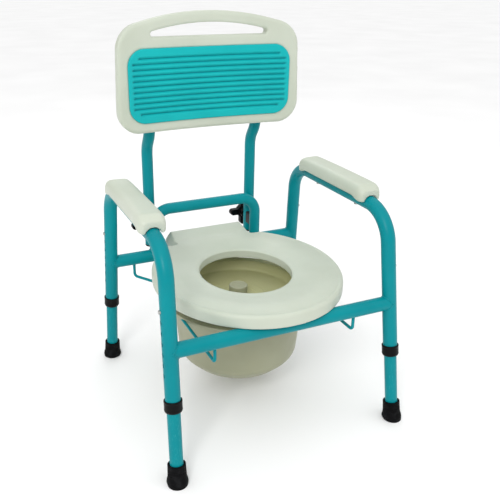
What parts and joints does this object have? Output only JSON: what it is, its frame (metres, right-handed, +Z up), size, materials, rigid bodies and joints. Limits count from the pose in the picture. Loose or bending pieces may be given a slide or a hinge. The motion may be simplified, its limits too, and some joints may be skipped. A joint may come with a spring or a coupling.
{
  "type": "commode chair",
  "caption": "Commode chair with bent-tube side frames, telescopic legs, armrests, a lift-up seat ring over a lidded bucket on rails, and a removable ribbed back.",
  "frame": {"origin": "on the floor, in the chair's middle plane, half way between its front feet and the back of its clamp knobs", "axes": "+Z up, +X to the right seen from the front, -Y the way the sitter faces"},
  "size_m": [0.5786, 0.6191, 0.881],
  "materials": {
    "frame_paint": "glossy powder coat",
    "seat_plastic": "satin moulded",
    "pail_plastic": "satin moulded",
    "back_pad_vinyl": "soft satin, ribbed",
    "black_plastic": "satin moulded",
    "tip_rubber": "matt",
    "zinc_steel": "bright zinc"
  },
  "bodies": {
    "frame": {"side_frame_left": "frame_paint", "side_frame_right": "frame_paint", "crossbar_front": "frame_paint", "crossbar_rear": "frame_paint", "back_bracket": "frame_paint", "bucket_rail_left": "frame_paint", "bucket_rail_right": "frame_paint", "leg_collar_front_left": "black_plastic", "leg_collar_rear_left": "black_plastic", "leg_collar_front_right": "black_plastic", "leg_collar_rear_right": "black_plastic", "armrest_pad_left": "seat_plastic", "armrest_pad_right": "seat_plastic", "armrest_screws_left": "zinc_steel", "armrest_screws_right": "zinc_steel", "clamp_saddle_left": "black_plastic", "clamp_saddle_right": "black_plastic", "clamp_bolt_left": "zinc_steel", "clamp_bolt_right": "zinc_steel"},
    "seat": {"seat_ring": "seat_plastic", "seat_bumpers": "tip_rubber"},
    "bucket": {"bucket": "pail_plastic"},
    "lid": {"bucket_lid": "pail_plastic", "lid_knob": "pail_plastic"},
    "back": {"back_post_left": "frame_paint", "back_post_right": "frame_paint", "post_plug_left": "black_plastic", "post_plug_right": "black_plastic", "post_side_plug_left": "black_plastic", "post_side_plug_right": "black_plastic", "back_panel": "seat_plastic", "back_pad": "back_pad_vinyl", "panel_screws": "zinc_steel", "clamp_washer_left": "zinc_steel", "clamp_washer_right": "zinc_steel"},
    "knob_left": {"clamp_knob_left": "black_plastic"},
    "knob_right": {"clamp_knob_right": "black_plastic"},
    "leg_front_left": {"inner_leg_front_left": "frame_paint", "rubber_tip_front_left": "tip_rubber"},
    "button_front_left": {"snap_button_front_left": "zinc_steel", "button_spring_front_left": "zinc_steel"},
    "leg_rear_left": {"inner_leg_rear_left": "frame_paint", "rubber_tip_rear_left": "tip_rubber"},
    "button_rear_left": {"snap_button_rear_left": "zinc_steel", "button_spring_rear_left": "zinc_steel"},
    "leg_front_right": {"inner_leg_front_right": "frame_paint", "rubber_tip_front_right": "tip_rubber"},
    "button_front_right": {"snap_button_front_right": "zinc_steel", "button_spring_front_right": "zinc_steel"},
    "leg_rear_right": {"inner_leg_rear_right": "frame_paint", "rubber_tip_rear_right": "tip_rubber"},
    "button_rear_right": {"snap_button_rear_right": "zinc_steel", "button_spring_rear_right": "zinc_steel"}
  },
  "joints": [
    {"name": "seat_lift", "type": "hinge", "parent": "frame", "child": "seat", "pos_m": [0, 0.21101, 0.2845], "axis": [-1, 0, 0], "range_deg": [0, 42]},
    {"name": "bucket_slide", "type": "slide", "parent": "frame", "child": "bucket", "axis": [0, 1, 0], "range_m": [0, 0.45]},
    {"name": "lid_lift", "type": "slide", "parent": "bucket", "child": "lid", "axis": [0, 0, 1], "range_m": [0, 0.034]},
    {"name": "back_draw", "type": "slide", "parent": "frame", "child": "back", "axis": [0, 1, 0], "range_m": [0, 0.075]},
    {"name": "knob_turn_left", "type": "hinge", "parent": "back", "child": "knob_left", "pos_m": [-0.142, 0.28, 0.341], "axis": [0, 1, 0], "range_deg": [0, 1080]},
    {"name": "knob_turn_right", "type": "hinge", "parent": "back", "child": "knob_right", "pos_m": [0.142, 0.28, 0.341], "axis": [0, 1, 0], "range_deg": [0, 1080]},
    {"name": "leg_height_front_left", "type": "slide", "parent": "frame", "child": "leg_front_left", "axis": [-0.0281, -0.1614, -0.9865], "range_m": [0, 0.132]},
    {"name": "button_press_front_left", "type": "slide", "parent": "leg_front_left", "child": "button_front_left", "axis": [0.9996, 0, -0.0284], "range_m": [0, 0.005], "stiffness_N_per_m": 1200, "springref_m": -0.003},
    {"name": "leg_height_rear_left", "type": "slide", "parent": "frame", "child": "leg_rear_left", "axis": [-0.0283, 0.0858, -0.9959], "range_m": [0, 0.132]},
    {"name": "button_press_rear_left", "type": "slide", "parent": "leg_rear_left", "child": "button_rear_left", "axis": [0.9996, 0, -0.0284], "range_m": [0, 0.005], "stiffness_N_per_m": 1200, "springref_m": -0.003},
    {"name": "leg_height_front_right", "type": "slide", "parent": "frame", "child": "leg_front_right", "axis": [0.0281, -0.1614, -0.9865], "range_m": [0, 0.132]},
    {"name": "button_press_front_right", "type": "slide", "parent": "leg_front_right", "child": "button_front_right", "axis": [-0.9996, 0, -0.0284], "range_m": [0, 0.005], "stiffness_N_per_m": 1200, "springref_m": -0.003},
    {"name": "leg_height_rear_right", "type": "slide", "parent": "frame", "child": "leg_rear_right", "axis": [0.0283, 0.0858, -0.9959], "range_m": [0, 0.132]},
    {"name": "button_press_rear_right", "type": "slide", "parent": "leg_rear_right", "child": "button_rear_right", "axis": [-0.9996, 0, -0.0284], "range_m": [0, 0.005], "stiffness_N_per_m": 1200, "springref_m": -0.003}
  ]
}
